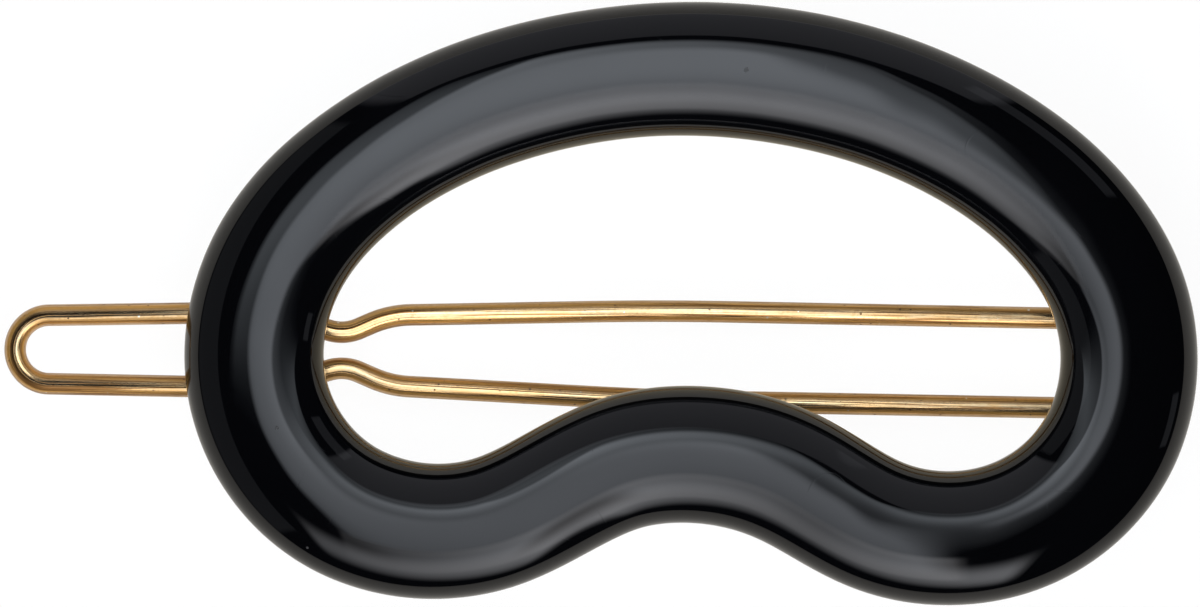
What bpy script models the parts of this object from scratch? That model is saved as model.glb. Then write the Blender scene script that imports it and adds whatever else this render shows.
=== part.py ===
"""Hair clip: a polished acetate ring with a sprung wire behind it.

The wire turns in a barrel at one end of the ring and snaps over a ball stud at the other, and
hair is held between the wire and the ring's flat back. X runs along the ring, Y across it and Z
towards its front. The clip lies on its back, with the ball's lowest point at Z = 0 and the middle
of the whole clip at X = Y = 0. Lengths are in metres.
"""

import math

import bmesh
import bpy
import numpy as np

# The ring's outline and thickness
RING_LENGTH = 0.0558
RING_WIDTH = 0.0334
LIMB_WIDTH = 0.0075
DOME_HEIGHT = 0.0031
BACK_HEIGHT = 0.0024
BACK_EDGE_WIDTH = 0.0014

# How square the section's quarters are: 2 is an ellipse, and more is squarer
DOME_SQUARENESS = 2.3
BACK_SQUARENESS = 2.2

# Control points of the closed curve along the middle of the limbs, clockwise from the hinge end:
# shares of half its length and of half its width, and the limb's width there as a share of LIMB_WIDTH
CENTRELINE_SHARES = [
    (1.025, -0.005, 0.998),
    (0.990, -0.641, 1.005),
    (0.737, -1.028, 0.973),
    (0.412, -1.002, 0.979),
    (0.209, -0.659, 1.020),
    (-0.175, -0.597, 0.985),
    (-0.443, -1.023, 0.969),
    (-0.830, -0.948, 1.010),
    (-1.038, -0.386, 1.022),
    (-0.967, 0.238, 1.011),
    (-0.727, 0.651, 0.971),
    (-0.434, 0.905, 0.973),
    (-0.104, 1.016, 0.962),
    (0.202, 0.990, 0.993),
    (0.516, 0.839, 0.988),
    (0.824, 0.507, 0.998),
]

# The sprung wire: its gauge, how far it reaches past the ring, and the space for hair above it
WIRE_DIAMETER = 0.0012
LOOP_OVERHANG = 0.0102
HAIR_SPACE = 0.0018
LOOP_RADIUS = 0.0019
TANG_BEND_RADIUS = 0.0009
TANG_END_SPACE = 0.0005

# Half the distance between the middles of the two legs, from the stud to the hinge
LEG_OFFSET_AT_STUD = 0.00210
LEG_OFFSET_AT_WAIST = 0.00086
LEG_OFFSET_AT_KNEE = 0.00195
LEG_OFFSET_AT_MIDDLE = 0.00249
LEG_OFFSET_AT_HINGE = 0.00248

# Steps along the clip from the stud to each bend in turn, and the radii that they are bent to
SHOULDER_FROM_STUD = 0.0005
WAIST_FROM_SHOULDER = 0.00445
KNEE_FROM_WAIST = 0.0025
MIDDLE_FROM_KNEE = 0.0149
SHOULDER_RADIUS = 0.0030
WAIST_RADIUS = 0.0024
KNEE_RADIUS = 0.0058
MIDDLE_RADIUS = 0.2000

# Where the wire's middle line lies, measured across the ring from its middle: it runs straight
# past the stud to the knees, and straight from there to the hinge
WIRE_OFFSET_AT_STUD = -0.00258
WIRE_OFFSET_AT_KNEE = -0.00260
WIRE_OFFSET_AT_HINGE = -0.00337

# The ball stud: a pin in the ring, a flange on its back, a neck and the ball
BALL_DIAMETER = 0.0031
NECK_DIAMETER = 0.0016
STUD_FLANGE_DIAMETER = 0.0030
STUD_FLANGE_THICKNESS = 0.0005

# The hinge: a barrel across the wire's ends, on a post with a flange and a pin like the stud's
BARREL_DIAMETER = 0.0025
BARREL_BEVEL = 0.00015
POST_DIAMETER = 0.0018
HINGE_FLANGE_DIAMETER = 0.0032
HINGE_FLANGE_THICKNESS = 0.0005

# Both fittings are set in the ring on a pin of this size, and their flanges' rims are rounded
PIN_DIAMETER = 0.0015
PIN_LENGTH = 0.0026
PIN_POINT = 0.0003
FLANGE_BEVEL = 0.00015

# Clearances
SEAT_CLEARANCE = 0.0003
HOLE_CLEARANCE = 0.0002
BORE_CLEARANCE = 0.00015
LATCH_CLEARANCE = 0.0002
BARREL_END_CLEARANCE = 0.00025
CUT_OVERRUN = 0.0005

# How finely round shapes are divided
RING_STATIONS = 112
LOOKUP_STATIONS = 4000
DOME_STEPS = 14
BACK_EDGE_STEPS = 4
ROUND_SIDES = 24
BEND_STEP = math.radians(12.0)
WIRE_BEVEL_RESOLUTION = 4
SHARP_ANGLE = math.radians(35.0)
MERGE_DISTANCE = 0.000001

# Heights that follow from the sizes above
WIRE_RADIUS = WIRE_DIAMETER / 2
BALL_RADIUS = BALL_DIAMETER / 2
WIRE_BELOW_BACK = HAIR_SPACE + WIRE_RADIUS
BALL_REACH = BALL_RADIUS + WIRE_RADIUS + LATCH_CLEARANCE
BALL_BELOW_WIRE = math.sqrt(max(BALL_REACH**2 - LEG_OFFSET_AT_STUD**2, 0.0))
BACK_Z = WIRE_BELOW_BACK + BALL_BELOW_WIRE + BALL_RADIUS
WIRE_Z = BACK_Z - WIRE_BELOW_BACK
BALL_Z = BALL_RADIUS
RING_MIDDLE_X = LOOP_OVERHANG / 2


def closed_spline(controls, count):
    """Points of a closed uniform cubic B-spline, and its direction at each of them."""
    controls = np.asarray(controls)
    span = np.linspace(0.0, len(controls), count, endpoint=False)
    first = np.floor(span).astype(int)
    t = (span - first)[:, None]
    weights = [(1 - t) ** 3, 3 * t**3 - 6 * t**2 + 4, -3 * t**3 + 3 * t**2 + 3 * t + 1, t**3]
    slopes = [-((1 - t) ** 2), 3 * t**2 - 4 * t, -3 * t**2 + 2 * t + 1, t**2]
    nearby = [controls[(first + step) % len(controls)] for step in (-1, 0, 1, 2)]
    points = sum(weight * near for weight, near in zip(weights, nearby)) / 6
    directions = sum(slope * near for slope, near in zip(slopes, nearby)) / 2
    return points, directions


def limb_stations(count):
    """Middle points of the ring's limbs, outward unit normals and half widths there."""
    points, directions = closed_spline(CENTRELINE_SHARES, count)
    half_widths = points[:, 2] * LIMB_WIDTH / 2
    room = np.array([RING_LENGTH, RING_WIDTH]) / 2 - LIMB_WIDTH / 2
    lowest, highest = points[:, :2].min(axis=0), points[:, :2].max(axis=0)
    scale = room / ((highest - lowest) / 2)
    middles = (points[:, :2] - (highest + lowest) / 2) * scale
    middles[:, 0] += RING_MIDDLE_X
    along = directions[:, :2] * scale
    along /= np.linalg.norm(along, axis=1)[:, None]
    outward = np.stack([-along[:, 1], along[:, 0]], axis=1)
    return middles, outward, half_widths


def limb_middle(y, side):
    """X of the middle of the outermost limb that crosses the line Y = y on the side -1 or +1."""
    x, heights = limb_stations(LOOKUP_STATIONS)[0].T
    crossing = (heights - y) * (np.roll(heights, -1) - y) <= 0
    return float(side * np.max(side * x[crossing]))


def quarter(width, height, squareness, steps):
    """Points of a superellipse quarter, from (width, 0) up to (0, height)."""
    angles = np.linspace(0.0, math.pi / 2, steps + 1)
    across = width * np.clip(np.cos(angles), 0.0, 1.0) ** (2 / squareness)
    up = height * np.clip(np.sin(angles), 0.0, 1.0) ** (2 / squareness)
    return np.stack([across, up], axis=1)


def limb_section(half_width):
    """Closed section of a limb: outer dome, inner dome, inner back edge and outer back edge."""
    dome = quarter(half_width, DOME_HEIGHT, DOME_SQUARENESS, DOME_STEPS // 2)
    edge = quarter(BACK_EDGE_WIDTH, BACK_HEIGHT, BACK_SQUARENESS, BACK_EDGE_STEPS)
    edge[:, 0] += half_width - BACK_EDGE_WIDTH
    dome[:, 1] += BACK_HEIGHT
    edge[:, 1] = BACK_HEIGHT - edge[:, 1]
    inner_dome = dome[-2::-1] * (-1, 1)
    inner_edge = edge[1:] * (-1, 1)
    outer_edge = edge[:0:-1]
    return np.concatenate([dome, inner_dome, inner_edge, outer_edge])


def collection(name):
    """A new collection in the scene."""
    made = bpy.data.collections.new(name)
    bpy.context.scene.collection.children.link(made)
    return made


def material(name, colour, roughness, metallic):
    """A Principled material."""
    made = bpy.data.materials.new(name)
    made.use_nodes = True
    shader = made.node_tree.nodes["Principled BSDF"]
    shader.inputs["Base Color"].default_value = (*colour, 1.0)
    shader.inputs["Roughness"].default_value = roughness
    shader.inputs["Metallic"].default_value = metallic
    return made


def add_object(name, data, where, finish, location):
    """Link an object that carries the data to a collection, with its finish and place."""
    made = bpy.data.objects.new(name, data)
    made.location = location
    if finish:
        data.materials.append(finish)
    where.objects.link(made)
    return made


def as_cutter(tool):
    """Mark an object as a tool of a Boolean, and not a part."""
    tool.hide_render = True
    tool.display_type = "WIRE"
    return tool


def add_boolean(target, operation, tool):
    """Cut the tool from the target, or join it on."""
    modifier = target.modifiers.new(operation.title(), "BOOLEAN")
    modifier.operation = operation
    modifier.solver = "EXACT"
    modifier.object = tool


def smooth(piece):
    """Shade a mesh smooth, but for its edges."""
    piece.data.shade_smooth()
    piece.data.set_sharp_from_angle(angle=SHARP_ANGLE)


def cylinder(name, where, radius, length, location, across=False):
    """A closed cylinder along Z, or along Y where it lies across, centred on its location."""
    mesh = bpy.data.meshes.new(name)
    shape = bmesh.new()
    bmesh.ops.create_cone(
        shape, cap_ends=True, segments=ROUND_SIDES, radius1=radius, radius2=radius, depth=length
    )
    shape.to_mesh(mesh)
    shape.free()
    made = add_object(name, mesh, where, None, location)
    if across:
        made.rotation_euler.x = math.pi / 2
    return made


def turned(name, where, finish, profile, location):
    """A solid turned about Z from a profile of (radius, height) points, listed from the top down."""
    mesh = bpy.data.meshes.new(name)
    edges = [(index, index + 1) for index in range(len(profile) - 1)]
    mesh.from_pydata([(radius, 0.0, height) for radius, height in profile], edges, [])
    made = add_object(name, mesh, where, finish, location)
    screw = made.modifiers.new("Turn", "SCREW")
    screw.steps = ROUND_SIDES
    screw.render_steps = ROUND_SIDES
    screw.use_merge_vertices = True
    screw.merge_threshold = MERGE_DISTANCE
    screw.use_smooth_shade = True
    return made


def fastening_profile(flange_diameter, flange_thickness):
    """Pin and flange of a fitting, from the pin's point down, with the ring's back at height 0."""
    pin_radius = PIN_DIAMETER / 2
    flange_radius = flange_diameter / 2
    flange_top = -SEAT_CLEARANCE
    flange_bottom = flange_top - flange_thickness
    return [
        (0.0, PIN_LENGTH),
        (pin_radius - PIN_POINT, PIN_LENGTH),
        (pin_radius, PIN_LENGTH - PIN_POINT),
        (pin_radius, flange_top),
        (flange_radius - FLANGE_BEVEL, flange_top),
        (flange_radius, flange_top - FLANGE_BEVEL),
        (flange_radius, flange_bottom + FLANGE_BEVEL),
        (flange_radius - FLANGE_BEVEL, flange_bottom),
    ]


def make_ring(parts, cutters, finish, seats):
    """The ring: its section carried round the centreline, with a blind hole at each seat."""
    middles, outward, half_widths = limb_stations(RING_STATIONS)
    shape = bmesh.new()
    rings = []
    for middle, normal, half_width in zip(middles, outward, half_widths):
        section = limb_section(half_width)
        places = middle + section[:, :1] * normal
        rings.append([shape.verts.new((x, y, up)) for (x, y), up in zip(places, section[:, 1])])
    for here, there in zip(rings, rings[1:] + rings[:1]):
        for step in range(len(here)):
            after = (step + 1) % len(here)
            shape.faces.new((here[step], here[after], there[after], there[step]))
    bmesh.ops.recalc_face_normals(shape, faces=shape.faces)
    mesh = bpy.data.meshes.new("ornament_ring")
    shape.to_mesh(mesh)
    shape.free()
    ring = add_object("ornament_ring", mesh, parts, finish, (0.0, 0.0, BACK_Z))
    smooth(ring)

    hole_depth = PIN_LENGTH + SEAT_CLEARANCE
    hole_length = hole_depth + CUT_OVERRUN
    for name, (x, y) in seats.items():
        centre_z = BACK_Z + hole_depth - hole_length / 2
        hole = cylinder(name, cutters, PIN_DIAMETER / 2 + HOLE_CLEARANCE, hole_length, (x, y, centre_z))
        add_boolean(ring, "DIFFERENCE", as_cutter(hole))
    return ring


def make_stud(parts, finish, x, y):
    """The ball stud, turned in one piece."""
    neck_radius = NECK_DIAMETER / 2
    ball_depth = BACK_Z - BALL_Z
    neck_angle = math.asin(neck_radius / BALL_RADIUS)
    profile = fastening_profile(STUD_FLANGE_DIAMETER, STUD_FLANGE_THICKNESS)
    profile.append((neck_radius, -SEAT_CLEARANCE - STUD_FLANGE_THICKNESS))
    for angle in np.linspace(neck_angle, math.pi, ROUND_SIDES // 2):
        radius = BALL_RADIUS * math.sin(angle) if angle < math.pi else 0.0
        profile.append((radius, -ball_depth + BALL_RADIUS * math.cos(angle)))
    return turned("ball_stud", parts, finish, profile, (x, y, BACK_Z))


def make_hinge(parts, cutters, finish, x, y):
    """The hinge: a barrel with a bore along Y, carried by a post with a flange and a pin."""
    post_radius = POST_DIAMETER / 2
    profile = fastening_profile(HINGE_FLANGE_DIAMETER, HINGE_FLANGE_THICKNESS)
    profile.append((post_radius, -SEAT_CLEARANCE - HINGE_FLANGE_THICKNESS))
    profile.append((post_radius, -WIRE_BELOW_BACK))
    profile.append((0.0, -WIRE_BELOW_BACK))
    hinge = turned("hinge_barrel", parts, finish, profile, (x, y, BACK_Z))

    tang_room = LEG_OFFSET_AT_HINGE - TANG_BEND_RADIUS
    barrel_length = 2 * (tang_room - BARREL_END_CLEARANCE)
    axis = (x, y, WIRE_Z)
    barrel = cylinder("barrel_body", cutters, BARREL_DIAMETER / 2, barrel_length, axis, across=True)
    bevel = barrel.modifiers.new("Rounded rims", "BEVEL")
    bevel.width = BARREL_BEVEL
    bevel.segments = 2
    bevel.limit_method = "ANGLE"
    bevel.angle_limit = SHARP_ANGLE
    add_boolean(hinge, "UNION", as_cutter(barrel))
    bore_radius = WIRE_RADIUS + BORE_CLEARANCE
    bore_length = barrel_length + 2 * CUT_OVERRUN
    bore = cylinder("barrel_bore", cutters, bore_radius, bore_length, axis, across=True)
    add_boolean(hinge, "DIFFERENCE", as_cutter(bore))
    return hinge


def bent(corners):
    """A path through corners of (x, y, bend radius), with each corner bent to its radius."""
    path = [np.array(corners[0][:2])]
    for before, corner, after in zip(corners, corners[1:], corners[2:]):
        point = np.array(corner[:2])
        incoming = point - before[:2]
        leaving = after[:2] - point
        incoming = incoming / np.linalg.norm(incoming)
        leaving = leaving / np.linalg.norm(leaving)
        turn = math.atan2(incoming[0] * leaving[1] - incoming[1] * leaving[0], incoming @ leaving)
        start = point - incoming * corner[2] * math.tan(abs(turn) / 2)
        inward = math.copysign(1.0, turn) * np.array([-incoming[1], incoming[0]])
        centre = start + inward * corner[2]
        for angle in np.linspace(0.0, turn, max(2, math.ceil(abs(turn) / BEND_STEP) + 1)):
            cosine, sine = math.cos(angle), math.sin(angle)
            spoke = start - centre
            path.append(centre + (spoke[0] * cosine - spoke[1] * sine, spoke[0] * sine + spoke[1] * cosine))
    path.append(np.array(corners[-1][:2]))
    return path


def leg_path(stud_x, hinge_x, middle_line, side):
    """One leg in plan, from the loop to the end of its tang, on the side -1 or +1 of the middle line."""
    loop_x = RING_MIDDLE_X - RING_LENGTH / 2 - LOOP_OVERHANG + WIRE_RADIUS + LOOP_RADIUS
    shoulder_x = stud_x + SHOULDER_FROM_STUD
    waist_x = shoulder_x + WAIST_FROM_SHOULDER
    knee_x = waist_x + KNEE_FROM_WAIST
    stations = [
        (loop_x, LOOP_RADIUS, 0.0),
        (shoulder_x, LEG_OFFSET_AT_STUD, SHOULDER_RADIUS),
        (waist_x, LEG_OFFSET_AT_WAIST, WAIST_RADIUS),
        (knee_x, LEG_OFFSET_AT_KNEE, KNEE_RADIUS),
        (knee_x + MIDDLE_FROM_KNEE, LEG_OFFSET_AT_MIDDLE, MIDDLE_RADIUS),
        (hinge_x, LEG_OFFSET_AT_HINGE, TANG_BEND_RADIUS),
        (hinge_x, TANG_END_SPACE / 2, 0.0),
    ]
    corners = [(x, middle_line(x) + side * offset, radius) for x, offset, radius in stations]
    return bent([np.array(corner) for corner in corners])


def make_wire(parts, finish, stud_x, hinge_x):
    """The sprung wire: two legs joined by the loop, each ending in a tang that turns in the barrel."""

    knee_x = stud_x + SHOULDER_FROM_STUD + WAIST_FROM_SHOULDER + KNEE_FROM_WAIST

    def middle_line(x):
        if x < knee_x:
            slope = (WIRE_OFFSET_AT_KNEE - WIRE_OFFSET_AT_STUD) / (knee_x - stud_x)
        else:
            slope = (WIRE_OFFSET_AT_HINGE - WIRE_OFFSET_AT_KNEE) / (hinge_x - knee_x)
        return WIRE_OFFSET_AT_KNEE + slope * (x - knee_x)

    upper = leg_path(stud_x, hinge_x, middle_line, 1)
    lower = leg_path(stud_x, hinge_x, middle_line, -1)
    loop_x = upper[0][0]
    loop_y = (upper[0][1] + lower[0][1]) / 2
    turns = np.linspace(math.pi / 2, 3 * math.pi / 2, math.ceil(math.pi / BEND_STEP) + 1)[1:-1]
    loop = [(loop_x + LOOP_RADIUS * math.cos(turn), loop_y + LOOP_RADIUS * math.sin(turn)) for turn in turns]
    route = upper[::-1] + loop + lower

    hinge_y = middle_line(hinge_x)
    curve = bpy.data.curves.new("spring_wire", "CURVE")
    curve.dimensions = "3D"
    curve.twist_mode = "Z_UP"
    curve.bevel_depth = WIRE_RADIUS
    curve.bevel_resolution = WIRE_BEVEL_RESOLUTION
    curve.use_fill_caps = True
    spline = curve.splines.new("POLY")
    spline.points.add(len(route) - 1)
    for point, (x, y) in zip(spline.points, route):
        point.co = (x - hinge_x, y - hinge_y, 0.0, 1.0)
        point.radius = 1.0
    return add_object("spring_wire", curve, parts, finish, (hinge_x, hinge_y, WIRE_Z))


def build_clip():
    """Make the clip's pieces in a cleared scene."""
    for old in list(bpy.data.objects):
        bpy.data.objects.remove(old)
    parts = collection("hair_clip")
    cutters = collection("cutters")
    acetate = material("black_acetate", (0.006, 0.006, 0.007), 0.06, 0.0)
    gold = material("gold_plate", (0.80, 0.56, 0.24), 0.18, 1.0)

    stud_x = limb_middle(WIRE_OFFSET_AT_STUD, -1)
    hinge_x = limb_middle(WIRE_OFFSET_AT_HINGE, 1)
    seats = {
        "stud_hole": (stud_x, WIRE_OFFSET_AT_STUD),
        "hinge_hole": (hinge_x, WIRE_OFFSET_AT_HINGE),
    }
    make_ring(parts, cutters, acetate, seats)
    make_stud(parts, gold, stud_x, WIRE_OFFSET_AT_STUD)
    make_hinge(parts, cutters, gold, hinge_x, WIRE_OFFSET_AT_HINGE)
    make_wire(parts, gold, stud_x, hinge_x)


build_clip()
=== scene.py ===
import math

import bpy
import numpy as np
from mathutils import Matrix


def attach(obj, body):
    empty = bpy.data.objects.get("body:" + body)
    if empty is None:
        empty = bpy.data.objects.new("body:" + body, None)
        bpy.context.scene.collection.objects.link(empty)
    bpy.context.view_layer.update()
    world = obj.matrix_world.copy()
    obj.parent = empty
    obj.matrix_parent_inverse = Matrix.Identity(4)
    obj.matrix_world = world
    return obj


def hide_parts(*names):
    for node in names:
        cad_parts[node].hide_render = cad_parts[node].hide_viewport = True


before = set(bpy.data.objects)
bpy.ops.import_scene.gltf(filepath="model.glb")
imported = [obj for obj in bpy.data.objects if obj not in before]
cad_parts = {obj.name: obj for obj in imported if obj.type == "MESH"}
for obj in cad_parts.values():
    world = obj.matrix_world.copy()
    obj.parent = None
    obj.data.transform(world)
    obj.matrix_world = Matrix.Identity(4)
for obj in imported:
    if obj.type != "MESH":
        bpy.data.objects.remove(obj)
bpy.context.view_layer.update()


# The view. The clip lies on its back and is looked at from straight above, through a long lens
# whose picture is a little wider than the clip. Distances run from the level of the ring's rim.
VIEW_DISTANCE = 1.0
VIEW_WIDTH = 0.066207
VIEW_CENTRE = (0.00005, 0.0)
RIM_Z = 0.0074
SENSOR_WIDTH = 36.0

camera_data = bpy.data.cameras.new("view")
camera_data.sensor_width = SENSOR_WIDTH
camera_data.lens = SENSOR_WIDTH * VIEW_DISTANCE / VIEW_WIDTH
camera_data.clip_start = 0.01
camera_data.clip_end = 100.0
camera_data.dof.use_dof = False
camera = bpy.data.objects.new("view", camera_data)
camera.location = (*VIEW_CENTRE, RIM_Z + VIEW_DISTANCE)
bpy.context.scene.collection.objects.link(camera)
bpy.context.scene.camera = camera
bpy.context.scene.view_settings.view_transform = "Standard"


# The ornament ring. It is sawn from flat black acetate sheet, milled to a dome in front and to
# small rounds at the back, tumbled, and finished by hand on a buffing wheel.
RING_LENGTH = 0.05587
RING_WIDTH = 0.03347
RING_MIDDLE_X = 0.0051
LIMB_WIDTH = 0.00757
DOME_HEIGHT = 0.0031
BACK_HEIGHT = 0.0024
BACK_EDGE_WIDTH = 0.0014
BACK_Z = 0.005005
DOME_SQUARENESS = 2.3
BACK_SQUARENESS = 2.2
# Controls of the curve along the limb's middle: x and y, where 1 is the half length and the half
# width of that curve, and how wide the limb is there, where 1 is LIMB_WIDTH. They weren't chosen
# by hand: a least-squares fit of the curve to the photograph's outline worked them out.
LIMB_MIDDLES = [
    (1.025, -0.005, 0.998), (0.990, -0.641, 1.005), (0.737, -1.028, 0.973),
    (0.412, -1.002, 0.979), (0.209, -0.659, 1.020), (-0.175, -0.597, 0.985),
    (-0.443, -1.023, 0.969), (-0.830, -0.948, 1.010), (-1.038, -0.386, 1.022),
    (-0.967, 0.238, 1.011), (-0.727, 0.651, 0.971), (-0.434, 0.905, 0.973),
    (-0.104, 1.016, 0.962), (0.202, 0.990, 0.993), (0.516, 0.839, 0.988),
    (0.824, 0.507, 0.998),
]
# The sheet has taken a slight dish in its width, so the long limbs lean in towards the hole
DISH_RADIUS = 0.140
RING_STATIONS = 800
DOME_STEPS = 30
BACK_EDGE_STEPS = 12
BACK_STEPS = 10
# Waves left by the buffing wheel: how many go round the ring, how many lie across the limb,
# the phase, and the height
BUFFING_WAVES = [
    (11, 1, 0.4, 2.6e-6), (17, -2, 2.1, 1.8e-6), (26, 1, 4.4, 1.3e-6), (5, 2, 1.0, 3.2e-6),
    (38, -1, 5.3, 0.7e-6), (23, 3, 3.3, 1.0e-6),
]


def closed_curve(controls, count):
    """Points and directions of a closed uniform cubic B-spline, at even steps of its parameter:
    each point is the mean of four neighbouring controls, weighted by the four cubic blends."""
    controls = np.asarray(controls)
    span = np.linspace(0.0, len(controls), count, endpoint=False)
    first = np.floor(span).astype(int)
    t = (span - first)[:, None]
    weights = [(1 - t) ** 3, 3 * t**3 - 6 * t**2 + 4, -3 * t**3 + 3 * t**2 + 3 * t + 1, t**3]
    slopes = [-((1 - t) ** 2), 3 * t**2 - 4 * t, -3 * t**2 + 2 * t + 1, t**2]
    near = [controls[(first + step) % len(controls)] for step in (-1, 0, 1, 2)]
    points = sum(weight * control for weight, control in zip(weights, near)) / 6
    directions = sum(slope * control for slope, control in zip(slopes, near)) / 2
    return points, directions


def superellipse_quarter(width, height, squareness, steps):
    """Points of a superellipse's quarter from (width, 0) to (0, height): across is the width by
    the angle's cosine, and up the height by its sine, each to the power 2 / squareness."""
    angles = np.linspace(0.0, math.pi / 2, steps + 1)
    across = width * np.clip(np.cos(angles), 0.0, 1.0) ** (2 / squareness)
    up = height * np.clip(np.sin(angles), 0.0, 1.0) ** (2 / squareness)
    return across, up


def grid_faces(rows, columns, closed_rows, closed_columns):
    """Corner numbers of the quads of a grid of points, row after row."""
    row = np.arange(rows if closed_rows else rows - 1)[:, None]
    column = np.arange(columns if closed_columns else columns - 1)[None, :]
    after_row, after_column = (row + 1) % rows, (column + 1) % columns
    corners = [
        row * columns + column,
        row * columns + after_column,
        after_row * columns + after_column,
        after_row * columns + column,
    ]
    return np.stack(corners, axis=-1).reshape(-1, 4)


def mesh_object(name, points, quads, triangles=(), uvs=None):
    """An object at the origin with its shape in its mesh, shaded smooth. uvs holds each corner's
    place on the surface, the quads' corners first."""
    mesh = bpy.data.meshes.new(name)
    faces = [*np.asarray(quads).tolist(), *np.asarray(triangles).tolist()]
    mesh.from_pydata(np.asarray(points).tolist(), [], faces)
    if uvs is not None:
        layer = mesh.uv_layers.new(name="surface")
        layer.data.foreach_set("uv", np.asarray(uvs, dtype=np.float32).ravel())
    mesh.shade_smooth()
    made = bpy.data.objects.new(name, mesh)
    bpy.context.scene.collection.objects.link(made)
    return made


def ring_surface():
    """The limb's section carried round the closed curve. Its dome is two superellipse quarters
    above the rim, its back two small quarters and a flat. The dish lifts the front by the square
    of y over twice its radius. Buffing waves, each a sine of the place round the ring and round
    the section, push the surface along its normal."""
    points, directions = closed_curve(LIMB_MIDDLES, RING_STATIONS)
    half = points[:, 2:] * LIMB_WIDTH / 2
    room = np.array([RING_LENGTH, RING_WIDTH]) / 2 - LIMB_WIDTH / 2
    lowest, highest = points[:, :2].min(axis=0), points[:, :2].max(axis=0)
    scale = room / ((highest - lowest) / 2)
    middles = (points[:, :2] - (highest + lowest) / 2) * scale + (RING_MIDDLE_X, 0.0)
    along = directions[:, :2] * scale
    along /= np.linalg.norm(along, axis=1)[:, None]
    outward = np.stack([-along[:, 1], along[:, 0]], axis=1)

    dome_across, dome_up = superellipse_quarter(1.0, DOME_HEIGHT, DOME_SQUARENESS, DOME_STEPS)
    edge_in, edge_up = superellipse_quarter(
        BACK_EDGE_WIDTH, BACK_HEIGHT, BACK_SQUARENESS, BACK_EDGE_STEPS
    )
    flat = np.linspace(1.0, -1.0, BACK_STEPS + 2)[1:-1]
    # Each section point is a share of the half width, and a fixed distance on from there
    share = np.concatenate([
        dome_across, -dome_across[-2::-1], -np.ones(BACK_EDGE_STEPS),
        -flat, np.ones(BACK_EDGE_STEPS),
    ])
    fixed = np.concatenate([
        0 * dome_across, 0 * dome_across[1:], BACK_EDGE_WIDTH - edge_in[1:],
        flat * BACK_EDGE_WIDTH, (edge_in - BACK_EDGE_WIDTH)[:0:-1],
    ])
    up = np.concatenate([
        BACK_HEIGHT + dome_up, BACK_HEIGHT + dome_up[-2::-1], BACK_HEIGHT - edge_up[1:],
        0 * flat, (BACK_HEIGHT - edge_up)[:0:-1],
    ])
    across = half * share + fixed
    place = middles[:, None, :] + across[..., None] * outward[:, None, :]
    dish = (place[..., 1] ** 2 - room[1] ** 2) / (2 * DISH_RADIUS)
    height = BACK_Z + up + dish * np.clip(up / BACK_HEIGHT, 0.0, 1.0)

    # The wave's push is along the section's normal, and fades on the flat back
    step_across = np.roll(across, -1, axis=1) - np.roll(across, 1, axis=1)
    step_up = np.roll(height, -1, axis=1) - np.roll(height, 1, axis=1)
    size = np.hypot(step_across, step_up)
    round_ring = 2 * math.pi * np.arange(RING_STATIONS)[:, None] / RING_STATIONS
    round_limb = 2 * math.pi * np.arange(len(up))[None, :] / len(up)
    push = sum(
        rise * np.sin(lengthwise * round_ring + crosswise * round_limb + phase)
        for lengthwise, crosswise, phase, rise in BUFFING_WAVES
    )
    push = push * np.clip((height - BACK_Z) / BACK_HEIGHT, 0.0, 1.0)
    place = place + (push * step_up / size)[..., None] * outward[:, None, :]
    height = height - push * step_across / size
    surface = np.concatenate([place, height[..., None]], axis=2)
    return surface


surface = ring_surface()
ring = mesh_object(
    "acetate_ring",
    surface.reshape(-1, 3),
    grid_faces(*surface.shape[:2], True, True),
)


def node_group(name, inputs, outputs):
    """A shader node group with named sockets, each given as (name, kind, value)."""
    group = bpy.data.node_groups.new(name, "ShaderNodeTree")
    for label, kind, value in inputs:
        socket = group.interface.new_socket(label, in_out="INPUT", socket_type=kind)
        if value is not None:
            socket.default_value = value
    for label, kind in outputs:
        group.interface.new_socket(label, in_out="OUTPUT", socket_type=kind)
    start = group.nodes.new("NodeGroupInput")
    end = group.nodes.new("NodeGroupOutput")
    return group, start, end


def math_node(tree, operation, *values):
    """A Math node whose inputs are numbers or other nodes' outputs."""
    node = tree.nodes.new("ShaderNodeMath")
    node.operation = operation
    for socket, value in zip(node.inputs, values):
        if isinstance(value, (int, float)):
            socket.default_value = value
        else:
            tree.links.new(value, socket)
    return node.outputs[0]


def span_node(tree, value, low, high, to_low, to_high):
    """A Map Range node that carries low..high to to_low..to_high, and stays inside it."""
    node = tree.nodes.new("ShaderNodeMapRange")
    for label, number in (
        ("From Min", low), ("From Max", high), ("To Min", to_low), ("To Max", to_high)
    ):
        node.inputs[label].default_value = number
    tree.links.new(value, node.inputs["Value"])
    return node.outputs["Result"]


def noise_node(tree, vector, scale, detail, roughness, distortion=0.0):
    """A Noise texture."""
    node = tree.nodes.new("ShaderNodeTexNoise")
    node.inputs["Scale"].default_value = scale
    node.inputs["Detail"].default_value = detail
    node.inputs["Roughness"].default_value = roughness
    node.inputs["Distortion"].default_value = distortion
    tree.links.new(vector, node.inputs["Vector"])
    return node.outputs["Fac"]


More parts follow.
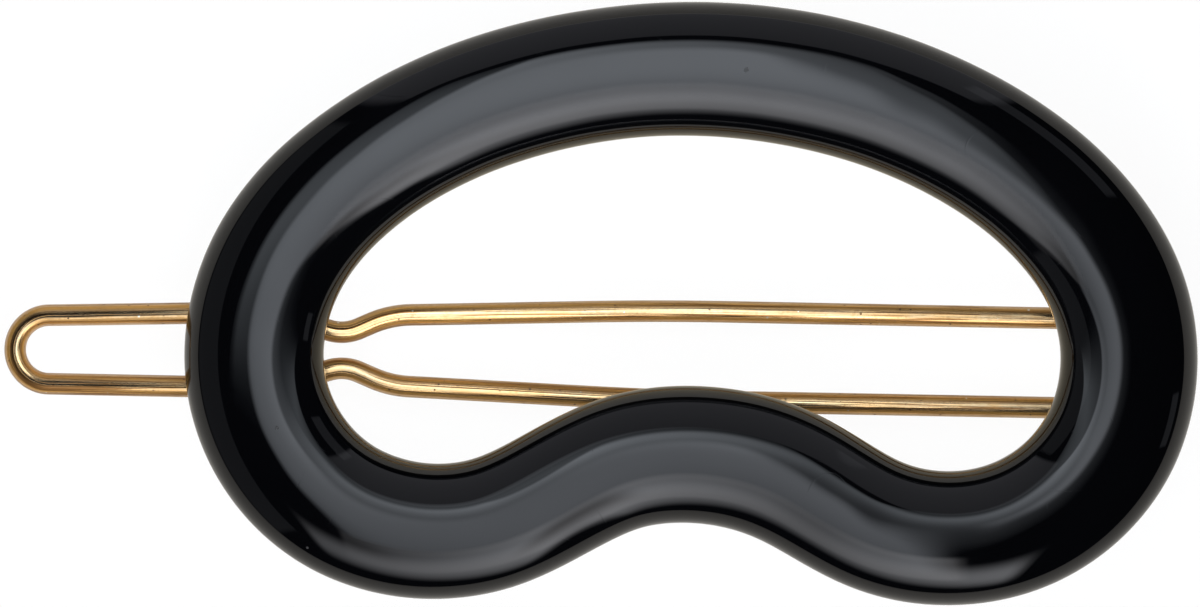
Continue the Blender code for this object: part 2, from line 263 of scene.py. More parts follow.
def hairline_group():
    """Fine curved scratches: the places where a slow noise passes its middle value form thin
    lines, and a second noise keeps only short lengths of them."""
    group, start, end = node_group(
        "hairline_scratches",
        [("Vector", "NodeSocketVector", None), ("Spacing", "NodeSocketFloat", 300.0),
         ("Thinness", "NodeSocketFloat", 90.0), ("Share", "NodeSocketFloat", 0.5)],
        [("Mask", "NodeSocketFloat")],
    )
    lines = group.nodes.new("ShaderNodeTexNoise")
    lines.inputs["Detail"].default_value = 0.0
    lines.inputs["Distortion"].default_value = 0.6
    group.links.new(start.outputs["Vector"], lines.inputs["Vector"])
    group.links.new(start.outputs["Spacing"], lines.inputs["Scale"])
    away = math_node(group, "ABSOLUTE", math_node(group, "SUBTRACT", lines.outputs["Fac"], 0.5))
    thin = math_node(
        group, "SUBTRACT", 1.0, math_node(group, "MULTIPLY", away, start.outputs["Thinness"])
    )
    kept = group.nodes.new("ShaderNodeTexNoise")
    kept.inputs["Detail"].default_value = 1.0
    group.links.new(start.outputs["Vector"], kept.inputs["Vector"])
    group.links.new(
        math_node(group, "MULTIPLY", start.outputs["Spacing"], 1.7), kept.inputs["Scale"]
    )
    chosen = math_node(group, "SUBTRACT", kept.outputs["Fac"], start.outputs["Share"])
    chosen = math_node(group, "MULTIPLY", chosen, 12.0)
    mask = math_node(
        group, "MULTIPLY", math_node(group, "MAXIMUM", thin, 0.0),
        math_node(group, "MINIMUM", math_node(group, "MAXIMUM", chosen, 0.0), 1.0),
    )
    group.links.new(mask, end.inputs["Mask"])
    return group


def speck_group():
    """Specks of dust or small pits: the middles of a few cells, picked by each cell's number."""
    group, start, end = node_group(
        "specks",
        [("Vector", "NodeSocketVector", None), ("Spacing", "NodeSocketFloat", 500.0),
         ("Size", "NodeSocketFloat", 0.12), ("Share", "NodeSocketFloat", 0.1)],
        [("Mask", "NodeSocketFloat")],
    )
    cells = group.nodes.new("ShaderNodeTexVoronoi")
    group.links.new(start.outputs["Vector"], cells.inputs["Vector"])
    group.links.new(start.outputs["Spacing"], cells.inputs["Scale"])
    split = group.nodes.new("ShaderNodeSeparateColor")
    group.links.new(cells.outputs["Color"], split.inputs["Color"])
    picked = math_node(group, "LESS_THAN", split.outputs["Red"], start.outputs["Share"])
    reach = math_node(group, "MULTIPLY", start.outputs["Size"], split.outputs["Green"])
    near = math_node(group, "LESS_THAN", cells.outputs["Distance"], reach)
    group.links.new(math_node(group, "MULTIPLY", picked, near), end.inputs["Mask"])
    return group


def place_group(tree, group, vector, **values):
    """A group in a material, with its own values."""
    node = tree.nodes.new("ShaderNodeGroup")
    node.node_tree = group
    tree.links.new(vector, node.inputs["Vector"])
    for label, value in values.items():
        node.inputs[label].default_value = value
    return node.outputs["Mask"]


def new_material(name, **constants):
    """A material with a Principled shader and its constants, and its tree and shader."""
    made = bpy.data.materials.new(name)
    made.use_nodes = True
    shader = made.node_tree.nodes["Principled BSDF"]
    for label, value in constants.items():
        shader.inputs[label.replace("_", " ")].default_value = value
    return made, made.node_tree, shader


def colour_mix(tree, factor, first, second):
    """A Mix node between two colours, each a colour or another node's output."""
    node = tree.nodes.new("ShaderNodeMix")
    node.data_type = "RGBA"
    tree.links.new(factor, node.inputs[0])
    for socket, colour in ((node.inputs[6], first), (node.inputs[7], second)):
        if isinstance(colour, tuple):
            socket.default_value = (*colour, 1.0)
        else:
            tree.links.new(colour, socket)
    return node.outputs[2]


def bump_node(tree, height, distance, strength, normal=None):
    """A Bump node. distance is the depth in metres of a height of 1."""
    node = tree.nodes.new("ShaderNodeBump")
    node.inputs["Distance"].default_value = distance
    node.inputs["Strength"].default_value = strength
    tree.links.new(height, node.inputs["Height"])
    if normal is not None:
        tree.links.new(normal, node.inputs["Normal"])
    return node.outputs["Normal"]


hairlines = hairline_group()
specks = speck_group()

# Polished black acetate: nearly black all through, with buffing haze, hairlines and some dust
acetate, tree, shader = new_material("polished_black_acetate", IOR=1.50)
place = tree.nodes.new("ShaderNodeTexCoord").outputs["Object"]
haze = noise_node(tree, place, 140.0, 3.0, 0.55)
long_lines = place_group(tree, hairlines, place, Spacing=170.0, Thinness=260.0, Share=0.56)
short_lines = place_group(tree, hairlines, place, Spacing=520.0, Thinness=120.0, Share=0.58)
dust = place_group(tree, specks, place, Spacing=620.0, Size=0.10, Share=0.05)
lines = math_node(tree, "MAXIMUM", long_lines, math_node(tree, "MULTIPLY", short_lines, 0.6))
roughness = span_node(tree, haze, 0.3, 0.7, 0.030, 0.055)
roughness = math_node(tree, "ADD", roughness, math_node(tree, "MULTIPLY", lines, 0.10))
roughness = math_node(tree, "ADD", roughness, math_node(tree, "MULTIPLY", dust, 0.5))
tree.links.new(roughness, shader.inputs["Roughness"])
tone = colour_mix(tree, haze, (0.0013, 0.0014, 0.0019), (0.0021, 0.0022, 0.0030))
tone = colour_mix(tree, dust, tone, (0.06, 0.06, 0.06))
tree.links.new(tone, shader.inputs["Base Color"])
tree.links.new(bump_node(tree, lines, -0.000002, 0.35), shader.inputs["Normal"])
ring.data.materials.append(acetate)
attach(ring, "ring")
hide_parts("ornament_ring")


# The ball stud. It is turned in one piece from brass rod and gold plated: a flange against the
# ring's back, a neck, and the ball that the wire's shoulders close over.
STUD_PLACE = (-0.019047, -0.00258)
BALL_RADIUS = 0.00155
STUD_NECK_RADIUS = 0.0008
STUD_FLANGE_RADIUS = 0.0015
FLANGE_DEPTH = 0.0008
FLANGE_RIM_DEPTH = 0.00045
FLANGE_ROUNDING = 0.00012
FLANGE_SETTING = 0.00003
TURNED_SIDES = 96


def arc(centre, radius, start, end, steps):
    """Points of a circle's arc between two angles in degrees, from +across towards +up."""
    angles = np.radians(np.linspace(start, end, steps))
    return np.stack(
        [centre[0] + radius * np.cos(angles), centre[1] + radius * np.sin(angles)], axis=1
    )


def turned_surface(profile, sides):
    """A profile of (radius, height) carried round the Z axis: x is the radius by the cosine of
    the turn and y the radius by its sine. The ends of the profile are closed by poles."""
    profile = np.asarray(profile)
    turns = np.linspace(0.0, 2 * math.pi, sides, endpoint=False)
    inner = profile[1:-1]
    x = inner[:, :1] * np.cos(turns)
    y = inner[:, :1] * np.sin(turns)
    z = np.broadcast_to(inner[:, 1:], x.shape)
    points = np.concatenate([
        np.stack([x, y, z], axis=-1).reshape(-1, 3),
        [[0.0, 0.0, profile[0, 1]], [0.0, 0.0, profile[-1, 1]]],
    ])
    quads = grid_faces(len(inner), sides, False, True)[:, ::-1]
    here = np.arange(sides)
    after = (here + 1) % sides
    first, last = len(points) - 2, len(points) - 1
    base = (len(inner) - 1) * sides
    top = np.stack([np.full(sides, first), here, after], axis=1)
    bottom = np.stack([np.full(sides, last), base + after, base + here], axis=1)
    return points, quads, np.concatenate([top, bottom])


def flange_profile(flange_radius, neck_radius):
    """A domed flange from the ring's back down to its neck, with rounded rims. Height 0 is the
    ring's back, which the flange is pressed a little into."""
    r = FLANGE_ROUNDING
    return np.concatenate([
        [(0.0, FLANGE_SETTING), (flange_radius - 2 * r, FLANGE_SETTING)],
        arc((flange_radius - r, -r), r, 90.0, 0.0, 7),
        arc((flange_radius - r, -FLANGE_RIM_DEPTH + r), r, 0.0, -68.0, 7),
        arc((neck_radius + r, -FLANGE_DEPTH - r), r, 105.0, 180.0, 7),
    ])


ball_depth = BACK_Z - BALL_RADIUS
neck_angle = math.degrees(math.asin(STUD_NECK_RADIUS / BALL_RADIUS))
stud_points, stud_quads, stud_caps = turned_surface(
    np.concatenate([
        flange_profile(STUD_FLANGE_RADIUS, STUD_NECK_RADIUS),
        arc((0.0, -ball_depth), BALL_RADIUS, 90.0 - neck_angle, -90.0, 40),
    ]),
    TURNED_SIDES,
)
stud = mesh_object("ball_catch", stud_points + (*STUD_PLACE, BACK_Z), stud_quads, stud_caps)


def plate_material(name, turning_axis, centre):
    """Gold plate over turned brass: fine rings of the tool round an axis, numbered 0 to 2 for X
    to Z, slight tarnish and small pits."""
    made, tree, shader = new_material(name, Metallic=1.0)
    place = tree.nodes.new("ShaderNodeTexCoord").outputs["Object"]
    mapping = tree.nodes.new("ShaderNodeMapping")
    mapping.inputs["Location"].default_value = tuple(-value for value in centre)
    tree.links.new(place, mapping.inputs["Vector"])
    split = tree.nodes.new("ShaderNodeSeparateXYZ")
    tree.links.new(mapping.outputs["Vector"], split.inputs["Vector"])
    cut = tree.nodes.new("ShaderNodeCombineXYZ")
    tree.links.new(split.outputs[turning_axis], cut.inputs["Z"])
    rings = noise_node(tree, cut.outputs["Vector"], 14000.0, 2.0, 0.6)
    centred = mapping.outputs["Vector"]
    tarnish = noise_node(tree, centred, 900.0, 4.0, 0.6)
    pits = place_group(tree, specks, centred, Spacing=3500.0, Size=0.22, Share=0.12)
    tone = colour_mix(tree, tarnish, (0.80, 0.54, 0.24), (0.66, 0.42, 0.17))
    tone = colour_mix(tree, pits, tone, (0.30, 0.17, 0.07))
    tree.links.new(tone, shader.inputs["Base Color"])
    roughness = span_node(tree, tarnish, 0.3, 0.7, 0.14, 0.28)
    tree.links.new(roughness, shader.inputs["Roughness"])
    rise = math_node(tree, "SUBTRACT", rings, math_node(tree, "MULTIPLY", pits, 2.0))
    tree.links.new(bump_node(tree, rise, 0.000003, 0.5), shader.inputs["Normal"])
    return made


stud.data.materials.append(plate_material("stud_gold_plate", 2, (*STUD_PLACE, 0.0)))
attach(stud, "ring")
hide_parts("ball_stud")


# The hinge. A barrel lies across the wire's ends, with a bore for its tangs, and is brazed to a
# post whose flange sits on the ring's back. Brass, gold plated like the stud.
HINGE_PLACE = (0.029246, -0.00337)
WIRE_Z = 0.002605
HINGE_FLANGE_RADIUS = 0.0016
POST_RADIUS = 0.0009
POST_END_Z = WIRE_Z + 0.00082
POST_END_EDGE = 0.0003
BARREL_RADIUS = 0.00125
BORE_RADIUS = 0.00075
BARREL_HALF_LENGTH = 0.00133
BARREL_ROUNDING = 0.00015

post_points, post_quads, post_caps = turned_surface(
    np.concatenate([
        flange_profile(HINGE_FLANGE_RADIUS, POST_RADIUS),
        [
            (POST_RADIUS, POST_END_Z - BACK_Z + POST_END_EDGE),
            (POST_RADIUS, POST_END_Z - BACK_Z),
            (0.0, POST_END_Z - BACK_Z),
        ],
    ]),
    TURNED_SIDES,
)
post_points = post_points + (*HINGE_PLACE, BACK_Z)


def barrel_surface():
    """A closed profile of (radius, length) carried round the Y axis: the outside, a rounded rim,
    the bore and the other rim."""
    r = BARREL_ROUNDING
    end = BARREL_HALF_LENGTH
    rims = [
        arc((end - r, BARREL_RADIUS - r), r, 90.0, 0.0, 7),
        arc((end - r, BORE_RADIUS + r), r, 0.0, -90.0, 7),
        arc((r - end, BORE_RADIUS + r), r, 270.0, 180.0, 7),
        arc((r - end, BARREL_RADIUS - r), r, 180.0, 90.0, 7),
    ]
    profile = np.concatenate(rims)
    turns = np.linspace(0.0, 2 * math.pi, TURNED_SIDES, endpoint=False)[:, None]
    x = HINGE_PLACE[0] + profile[:, 1] * np.cos(turns)
    y = HINGE_PLACE[1] + np.broadcast_to(profile[:, 0], x.shape)
    z = WIRE_Z + profile[:, 1] * np.sin(turns)
    return np.stack([x, y, z], axis=-1)


barrel = barrel_surface()
barrel_quads = grid_faces(*barrel.shape[:2], True, True)
hinge = mesh_object(
    "hinge_fitting",
    np.concatenate([post_points, barrel.reshape(-1, 3)]),
    np.concatenate([post_quads, barrel_quads + len(post_points)]),
    post_caps,
)
hinge.data.materials.append(plate_material("hinge_gold_plate", 1, (*HINGE_PLACE, WIRE_Z)))
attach(hinge, "ring")
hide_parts("hinge_barrel")


# The spring wire. One length of hard-drawn wire, gold plated, is bent over pins: a loop to lift it
# by, shoulders that clasp the ball, a waist, knees, and tangs turned in to the barrel's bore. The
# end with the loop hangs a little lower, from use.
WIRE_RADIUS = 0.0006
LOOP_RADIUS = 0.0019
LOOP_X = -0.030500
HANG_FROM_X = -0.0212
HANG_SLOPE = 0.085
HANG_START = 0.0015
MIDDLE_LINE = [(-0.019047, -0.00258), (-0.011597, -0.00260), (0.029246, -0.00337)]
TANG_END = 0.00025
LEG_BENDS = [
    (-0.018547, 0.00210, 0.0030),
    (-0.014097, 0.00086, 0.0024),
    (-0.011597, 0.00195, 0.0058),
    (0.003303, 0.00249, 0.2000),
    (0.029246, 0.00248, 0.0009),
]
WIRE_END_ROUNDING = 0.0002
WIRE_STEP = 0.00012
WIRE_SIDES = 40
BEND_STEPS = 40
LOOP_STEPS = 61


def bent_path(corners):
    """A path through corners of (x, y, bend radius), each corner rounded by a circle of that
    radius."""
    path = [np.array(corners[0][:2])]
    for before, corner, after in zip(corners, corners[1:], corners[2:]):
        point = np.array(corner[:2])
        incoming = point - before[:2]
        leaving = after[:2] - point
        incoming = incoming / np.linalg.norm(incoming)
        leaving = leaving / np.linalg.norm(leaving)
        turn = math.atan2(incoming[0] * leaving[1] - incoming[1] * leaving[0], incoming @ leaving)
        start = point - incoming * corner[2] * math.tan(abs(turn) / 2)
        inward = math.copysign(1.0, turn) * np.array([-incoming[1], incoming[0]])
        centre = start + inward * corner[2]
        spoke = start - centre
        square = np.array([-spoke[1], spoke[0]])
        angles = np.linspace(0.0, turn, BEND_STEPS)[:, None]
        path.extend(centre + spoke * np.cos(angles) + square * np.sin(angles))
    path.append(np.array(corners[-1][:2]))
    return np.array(path)


def even_steps(path, step):
    """Points at even steps along a path, and how far along each one is."""
    length = np.concatenate([[0.0], np.cumsum(np.linalg.norm(np.diff(path, axis=0), axis=1))])
    kept = np.concatenate([[True], np.diff(length) > 1e-9])
    path, length = path[kept], length[kept]
    count = int(round(length[-1] / step)) + 1
    at = np.linspace(0.0, length[-1], count)
    return np.stack([np.interp(at, length, across) for across in path.T], axis=1), at


def wire_path():
    """The wire's middle in plan: a leg from its tang to the loop, the loop, and the other leg."""
    stud_end, knee, hinge_end = MIDDLE_LINE

    def line_y(x):
        first, second = (stud_end, knee) if x < knee[0] else (knee, hinge_end)
        return first[1] + (x - first[0]) / (second[0] - first[0]) * (second[1] - first[1])

    legs = []
    for side in (1, -1):
        stations = [(LOOP_X, LOOP_RADIUS, 0.0), *LEG_BENDS, (hinge_end[0], TANG_END, 0.0)]
        legs.append(bent_path([
            np.array([x, line_y(x) + side * offset, radius]) for x, offset, radius in stations
        ]))
    turns = np.linspace(math.pi / 2, 3 * math.pi / 2, LOOP_STEPS)[1:-1]
    circle = np.stack([np.cos(turns), np.sin(turns)], axis=1)
    loop = np.array([LOOP_X, line_y(LOOP_X)]) + LOOP_RADIUS * circle
    return np.concatenate([legs[0][::-1], loop, legs[1]])


def wire_surface():
    """A circle carried along the path, square to it: each point is the path's point, plus the
    radius by the angle's cosine sideways and by its sine upwards. The ends are rounded off. Past
    HANG_FROM_X the path sinks by the slope times the way, with a soft start over HANG_START."""
    path, at = even_steps(wire_path(), WIRE_STEP)
    along = np.gradient(path, axis=0)
    along /= np.linalg.norm(along, axis=1)[:, None]
    sideways = np.stack([along[:, 1], -along[:, 0]], axis=1)
    ends = np.minimum(at, at[-1] - at)
    inset = np.clip(1 - ends / WIRE_END_ROUNDING, 0.0, 1.0)
    radius = WIRE_RADIUS - WIRE_END_ROUNDING * (1 - np.sqrt(1 - inset**2))
    angles = np.linspace(0.0, 2 * math.pi, WIRE_SIDES, endpoint=False)
    side = radius[:, None] * np.cos(angles)
    lift = radius[:, None] * np.sin(angles)
    place = path[:, None, :] + side[..., None] * sideways[:, None, :]
    past = np.maximum(HANG_FROM_X - path[:, 0], 0.0)
    height = WIRE_Z - HANG_SLOPE * past**2 / (past + HANG_START)
    points = np.concatenate([place, (height[:, None] + lift)[..., None]], axis=2)
    return points, at


# Along the wire the surface's place counts in centimetres, and round it from 0 to 1
UV_PER_METRE = 100.0

wire_points, wire_at = wire_surface()
rows, columns = wire_points.shape[:2]
wire_quads = grid_faces(rows, columns, False, True)
corner_u = wire_at[wire_quads // columns]
column = wire_quads % columns
wrapped = (column == 0) & (column.max(axis=1)[:, None] == columns - 1)
corner_v = np.where(wrapped, 1.0, column / columns)
quad_uv = np.stack([corner_u * UV_PER_METRE, corner_v], axis=-1).reshape(-1, 2)
here = np.arange(columns)
after = (here + 1) % columns
start_pole, end_pole = rows * columns, rows * columns + 1
base = (rows - 1) * columns
wire_caps = np.concatenate([
    np.stack([np.full(columns, start_pole), after, here], axis=1),
    np.stack([np.full(columns, end_pole), base + here, base + after], axis=1),
])
cap_uv = np.zeros((wire_caps.size, 2))
all_points = np.concatenate([
    wire_points.reshape(-1, 3), [wire_points[0].mean(axis=0)], [wire_points[-1].mean(axis=0)],
])
wire = mesh_object(
    "sprung_wire", all_points, wire_quads, wire_caps, np.concatenate([quad_uv, cap_uv])
)

# Gold plate on drawn wire. The die leaves long dark lines along it, so their noise is stretched
# that way. The plate is a little redder in patches, and it has small pits and bright nicks.
DRAWN_STRETCH = 0.16

gold, tree, shader = new_material("gold_plated_wire")
place = tree.nodes.new("ShaderNodeTexCoord").outputs["Object"]
surface_uv = tree.nodes.new("ShaderNodeUVMap")
surface_uv.uv_map = "surface"
split = tree.nodes.new("ShaderNodeSeparateXYZ")
tree.links.new(surface_uv.outputs["UV"], split.inputs["Vector"])
turn = math_node(tree, "MULTIPLY", split.outputs["Y"], 2 * math.pi)
drawn = tree.nodes.new("ShaderNodeCombineXYZ")
tree.links.new(math_node(tree, "MULTIPLY", split.outputs["X"], DRAWN_STRETCH), drawn.inputs["X"])
tree.links.new(math_node(tree, "COSINE", turn), drawn.inputs["Y"])
tree.links.new(math_node(tree, "SINE", turn), drawn.inputs["Z"])
stretched = drawn.outputs["Vector"]
wide_lines = place_group(tree, hairlines, stretched, Spacing=2.7, Thinness=15.0, Share=0.40)
fine_lines = place_group(tree, hairlines, stretched, Spacing=5.2, Thinness=11.0, Share=0.40)
satin = noise_node(tree, stretched, 7.0, 2.0, 0.6)
tarnish = noise_node(tree, place, 420.0, 4.0, 0.6)
grain = noise_node(tree, place, 4800.0, 3.0, 0.65)
pits = place_group(tree, specks, place, Spacing=3600.0, Size=0.26, Share=0.22)
nicks = place_group(tree, specks, place, Spacing=2900.0, Size=0.20, Share=0.09)
# The colour and metalness change with the view angle, which is painted light. Square on, the plate
# is painted pale, a painted highlight. Its sides are painted redder as painted shade, and made less
# metallic so that they scatter more light. Its very edges are painted pale again, a painted
# reflection of the pale sheet.
facing = tree.nodes.new("ShaderNodeLayerWeight")
facing.inputs["Blend"].default_value = 0.5
side = span_node(tree, facing.outputs["Facing"], 0.03, 0.16, 0.0, 1.0)
painted_edge_reflection = span_node(tree, facing.outputs["Facing"], 0.30, 0.50, 0.0, 1.0)
# side is painted shade and the edge mix a painted reflection: both follow the view angle, not the
# plate
tone = colour_mix(tree, side, (0.82, 0.60, 0.34), (1.0, 0.53, 0.13))
tone = colour_mix(tree, painted_edge_reflection, tone, (1.0, 0.71, 0.44))
red_patches = span_node(tree, tarnish, 0.4, 0.75, 0.0, 0.7)
tone = colour_mix(tree, red_patches, tone, (0.85, 0.49, 0.17))
dull_grains = span_node(tree, grain, 0.50, 0.72, 0.0, 0.5)
tone = colour_mix(tree, dull_grains, tone, (0.60, 0.34, 0.12))
faint_lines = math_node(tree, "MULTIPLY", fine_lines, 0.6)
tone = colour_mix(tree, faint_lines, tone, (0.44, 0.24, 0.08))
dark_lines = math_node(tree, "MINIMUM", math_node(tree, "MULTIPLY", wide_lines, 2.0), 0.85)
tone = colour_mix(tree, dark_lines, tone, (0.30, 0.13, 0.03))
tone = colour_mix(tree, pits, tone, (0.26, 0.15, 0.07))
tone = colour_mix(tree, nicks, tone, (0.97, 0.90, 0.72))
tree.links.new(tone, shader.inputs["Base Color"])
tree.links.new(span_node(tree, side, 0.0, 1.0, 1.0, 0.50), shader.inputs["Metallic"])
roughness = span_node(tree, satin, 0.3, 0.7, 0.13, 0.21)
roughness = math_node(tree, "ADD", roughness, math_node(tree, "MULTIPLY", side, 0.08))
roughness = math_node(tree, "ADD", roughness, math_node(tree, "MULTIPLY", wide_lines, 0.12))
tree.links.new(roughness, shader.inputs["Roughness"])
depth = math_node(tree, "ADD", wide_lines, math_node(tree, "MULTIPLY", fine_lines, 0.4))
depth = math_node(tree, "ADD", depth, math_node(tree, "MULTIPLY", pits, 0.8))
depth = math_node(tree, "SUBTRACT", depth, math_node(tree, "MULTIPLY", satin, 1.2))
tree.links.new(bump_node(tree, depth, -0.000010, 0.7), shader.inputs["Normal"])
wire.data.materials.append(gold)
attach(wire, "wire")
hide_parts("spring_wire")


# The sheet that the clip lies on. Reflections show it pale. To the camera it is a veil that keeps
# a faint shadow of the clip, with the white room behind it, so a piece that swings below it shows.
SHEET_HALF_SIZE = 12.0

sheet = mesh_object(
    "sheet",
    SHEET_HALF_SIZE * np.array([(-1, -1, 0), (1, -1, 0), (1, 1, 0), (-1, 1, 0)]),
    [(0, 1, 2, 3)],
)
paper = bpy.data.materials.new("white_sheet")
paper.use_nodes = True
tree = paper.node_tree
tree.nodes.clear()
output = tree.nodes.new("ShaderNodeOutputMaterial")
rays = tree.nodes.new("ShaderNodeLightPath")
faces = tree.nodes.new("ShaderNodeNewGeometry")


def shader_node(kind, **values):
    """A shader in the sheet's material, with its values."""
    node = tree.nodes.new(kind)
    for label, value in values.items():
        node.inputs[label].default_value = value
    return node.outputs[0]


def two_shaders(kind, first, second, factor=None):
    """An Add or Mix Shader of two shaders."""
    node = tree.nodes.new(kind)
    offset = 0
    if factor is not None:
        tree.links.new(factor, node.inputs[0])
        offset = 1
    tree.links.new(first, node.inputs[offset])
    tree.links.new(second, node.inputs[offset + 1])
    return node.outputs[0]


clear = shader_node("ShaderNodeBsdfTransparent", Color=(1.0, 1.0, 1.0, 1.0))
veil = two_shaders(
    "ShaderNodeAddShader",
    shader_node("ShaderNodeBsdfTransparent", Color=(0.95, 0.95, 0.95, 1.0)),
    shader_node("ShaderNodeBsdfDiffuse", Color=(0.14, 0.14, 0.14, 1.0)),
)
# In the ring's hole the sheet's glow is painted darker and warmer: painted shade from the ring, and
# painted warm light bounced from the gold wire over it. The distance from the hole's middle is 1 on
# an ellipse of 36 by 20 mm.
in_hole = tree.nodes.new("ShaderNodeMapping")
in_hole.inputs["Location"].default_value = (-0.28, 0.0, 0.0)
in_hole.inputs["Scale"].default_value = (55.0, 100.0, 0.0)
tree.links.new(tree.nodes.new("ShaderNodeTexCoord").outputs["Object"], in_hole.inputs["Vector"])
reach = tree.nodes.new("ShaderNodeVectorMath")
reach.operation = "LENGTH"
tree.links.new(in_hole.outputs["Vector"], reach.inputs[0])
# Painted shade and painted bounce light: the glow dims and warms towards the hole's middle
hole_shade_and_bounce = span_node(tree, reach.outputs["Value"], 0.8, 1.3, 1.0, 0.0)
shaded_glow_colour = colour_mix(tree, hole_shade_and_bounce, (1.0, 0.96, 0.89), (0.90, 0.80, 0.60))
pale_glow = shader_node("ShaderNodeEmission", Strength=0.50)
tree.links.new(shaded_glow_colour, pale_glow.node.inputs["Color"])
white = two_shaders(
    "ShaderNodeAddShader",
    pale_glow,
    shader_node("ShaderNodeBsdfDiffuse", Color=(0.15, 0.145, 0.13, 1.0)),
)
seen = math_node(tree, "MAXIMUM", rays.outputs["Is Camera Ray"], rays.outputs["Is Shadow Ray"])
look = two_shaders("ShaderNodeMixShader", white, veil, seen)
look = two_shaders("ShaderNodeMixShader", look, clear, faces.outputs["Backfacing"])
tree.links.new(look, output.inputs["Surface"])
sheet.data.materials.append(paper)


# The studio's lamps. Soft boxes overhead and in front, and dim walls round them, are cards that
# the camera doesn't see: each fades over a width at each edge, and may glow more to one side.
CARD_STEPS = 33


def smooth_rise(value):
    """Nought below 0, one above 1, and a smooth rise between them."""
    value = np.clip(value, 0.0, 1.0)
    return value * value * (3 - 2 * value)


def light_card(name, centre, across, up, colour, strength, fades, slope=(0.0, 0.0)):
    """A card whose points are the centre plus shares, from -1 to 1, of two half sides. Its glow
    rises from each edge over that edge's fade, a share of the half side, and changes along
    each side by the slope. fades are those of the left, right, lower and upper edge."""
    shares = np.linspace(-1.0, 1.0, CARD_STEPS)
    a, b = np.meshgrid(shares, shares, indexing="ij")
    points = np.asarray(centre) + a[..., None] * np.asarray(across) + b[..., None] * np.asarray(up)
    glow = np.maximum(1 + slope[0] * a + slope[1] * b, 0.0)
    for share, fade in ((1 + a, fades[0]), (1 - a, fades[1]), (1 + b, fades[2]), (1 - b, fades[3])):
        glow = glow * smooth_rise(share / fade)
    faces = grid_faces(CARD_STEPS, CARD_STEPS, False, False)
    card = mesh_object(name, points.reshape(-1, 3), faces)
    layer = card.data.attributes.new("glow", "FLOAT", "POINT")
    layer.data.foreach_set("value", glow.astype(np.float32).ravel())
    made = bpy.data.materials.new(name)
    made.use_nodes = True
    tree = made.node_tree
    tree.nodes.clear()
    output = tree.nodes.new("ShaderNodeOutputMaterial")
    emission = tree.nodes.new("ShaderNodeEmission")
    emission.inputs["Color"].default_value = (*colour, 1.0)
    attribute = tree.nodes.new("ShaderNodeAttribute")
    attribute.attribute_name = "glow"
    glow_strength = math_node(tree, "MULTIPLY", attribute.outputs["Fac"], strength)
    tree.links.new(glow_strength, emission.inputs["Strength"])
    clear = tree.nodes.new("ShaderNodeBsdfTransparent")
    both = tree.nodes.new("ShaderNodeAddShader")
    tree.links.new(emission.outputs["Emission"], both.inputs[0])
    tree.links.new(clear.outputs["BSDF"], both.inputs[1])
    tree.links.new(both.outputs["Shader"], output.inputs["Surface"])
    card.data.materials.append(made)
    card.visible_camera = False
    card.visible_shadow = False


# The five soft boxes weren't placed by hand: a least-squares fit to the photograph's reflections
# worked out their places, sizes, strengths, fades and slopes, which are rounded here, with some
# strengths and fades changed a little after it. The four walls after them were placed one by one.
light_card(
    "overhead_softbox", (-0.002, 0.019, 0.055), (0.0275, 0.0, 0.0045), (0.0, 0.0255, 0.0255),
    (0.88, 0.96, 1.05), 0.78, (0.15, 0.08, 0.60, 0.06), (-0.26, -0.95),
)
light_card(
    "high_softbox", (0.0075, 0.025, 0.1175), (0.0355, 0.0, 0.001), (0.0, 0.053, 0.0325),
    (0.90, 0.96, 1.05), 0.99, (0.15, 0.08, 0.10, 0.50), (-0.93, 0.75),
)
light_card(
    "wide_softbox", (-0.004, -0.0065, 0.1295), (0.0275, 0.0, -0.006), (0.0, 0.064, 0.0615),
    (0.91, 0.96, 1.05), 1.00, (0.50, 0.40, 0.40, 0.50), (0.95, -0.10),
)
light_card(
    "front_softbox", (-0.0035, -0.038, 0.0765), (0.0285, 0.0, -0.003), (0.0, 0.013, 0.0385),
    (0.98, 0.97, 1.0), 0.80, (0.06, 0.15, 0.20, 0.60), (0.60, 0.36),
)
light_card(
    "low_front_softbox", (-0.018, -0.117, 0.117), (0.091, 0.0, -0.0265), (0.0, 0.054, 0.0605),
    (0.96, 0.97, 1.02), 1.95, (0.20, 0.20, 1.0, 0.90), (0.48, 0.0),
)
light_card(
    "back_wall", (0.005, 0.200, 0.164), (0.150, 0.0, 0.0), (0.0, 0.0, 0.164),
    (0.95, 0.96, 1.05), 0.37, (0.04, 0.04, 0.02, 0.05), (0.0, -0.20),
)
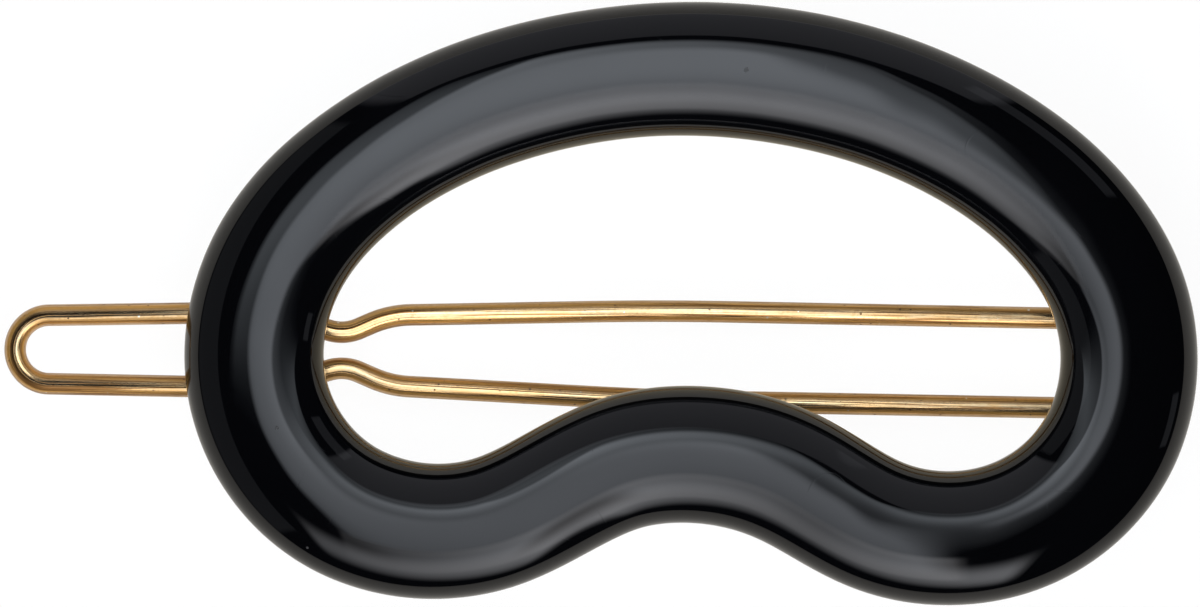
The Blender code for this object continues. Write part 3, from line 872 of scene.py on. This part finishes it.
light_card(
    "left_wall", (-0.20, 0.020, 0.110), (0.0, 0.230, 0.0), (0.0, 0.0, 0.095),
    (0.93, 0.96, 1.03), 0.14, (0.05, 0.05, 0.10, 0.06), (0.0, 0.0),
)
light_card(
    "window", (0.300, -0.062, 0.092), (0.0, 0.032, 0.0), (0.0, 0.0, 0.040),
    (0.93, 0.96, 1.05), 0.22, (0.08, 0.08, 0.08, 0.08), (0.0, 0.0),
)
light_card(
    "corner_wall", (0.165, 0.165, 0.130), (0.035, -0.035, 0.0), (0.0, 0.0, 0.050),
    (0.93, 0.96, 1.05), 0.20, (0.08, 0.08, 0.08, 0.08), (0.0, 0.0),
)

# The room is dim above the sheet. Below it, what a piece that swings down there reflects is as
# pale as the sheet, and to the camera the room is white.
world = bpy.data.worlds.new("room")
bpy.context.scene.world = world
world.use_nodes = True
tree = world.node_tree
tree.nodes.clear()
output = tree.nodes.new("ShaderNodeOutputWorld")
rays = tree.nodes.new("ShaderNodeLightPath")
room = tree.nodes.new("ShaderNodeBackground")
room.inputs["Color"].default_value = (0.010, 0.011, 0.014, 1.0)
backdrop = tree.nodes.new("ShaderNodeBackground")
backdrop.inputs["Color"].default_value = (1.0, 1.0, 1.0, 1.0)
backdrop.inputs["Strength"].default_value = 1.0
direction = tree.nodes.new("ShaderNodeSeparateXYZ")
coordinates = tree.nodes.new("ShaderNodeTexCoord")
tree.links.new(coordinates.outputs["Generated"], direction.inputs["Vector"])
below = math_node(tree, "LESS_THAN", direction.outputs["Z"], 0.0)
below = math_node(tree, "MULTIPLY", below, rays.outputs["Is Glossy Ray"])
under_sheet = tree.nodes.new("ShaderNodeBackground")
under_sheet.inputs["Color"].default_value = (1.0, 0.96, 0.89, 1.0)
under_sheet.inputs["Strength"].default_value = 0.60
seen, sent_through = rays.outputs["Is Camera Ray"], rays.outputs["Is Transmission Ray"]
white_rays = math_node(tree, "MAXIMUM", seen, sent_through)
look = two_shaders("ShaderNodeMixShader", room.outputs[0], under_sheet.outputs[0], below)
look = two_shaders("ShaderNodeMixShader", look, backdrop.outputs[0], white_rays)
tree.links.new(look, output.inputs["Surface"])
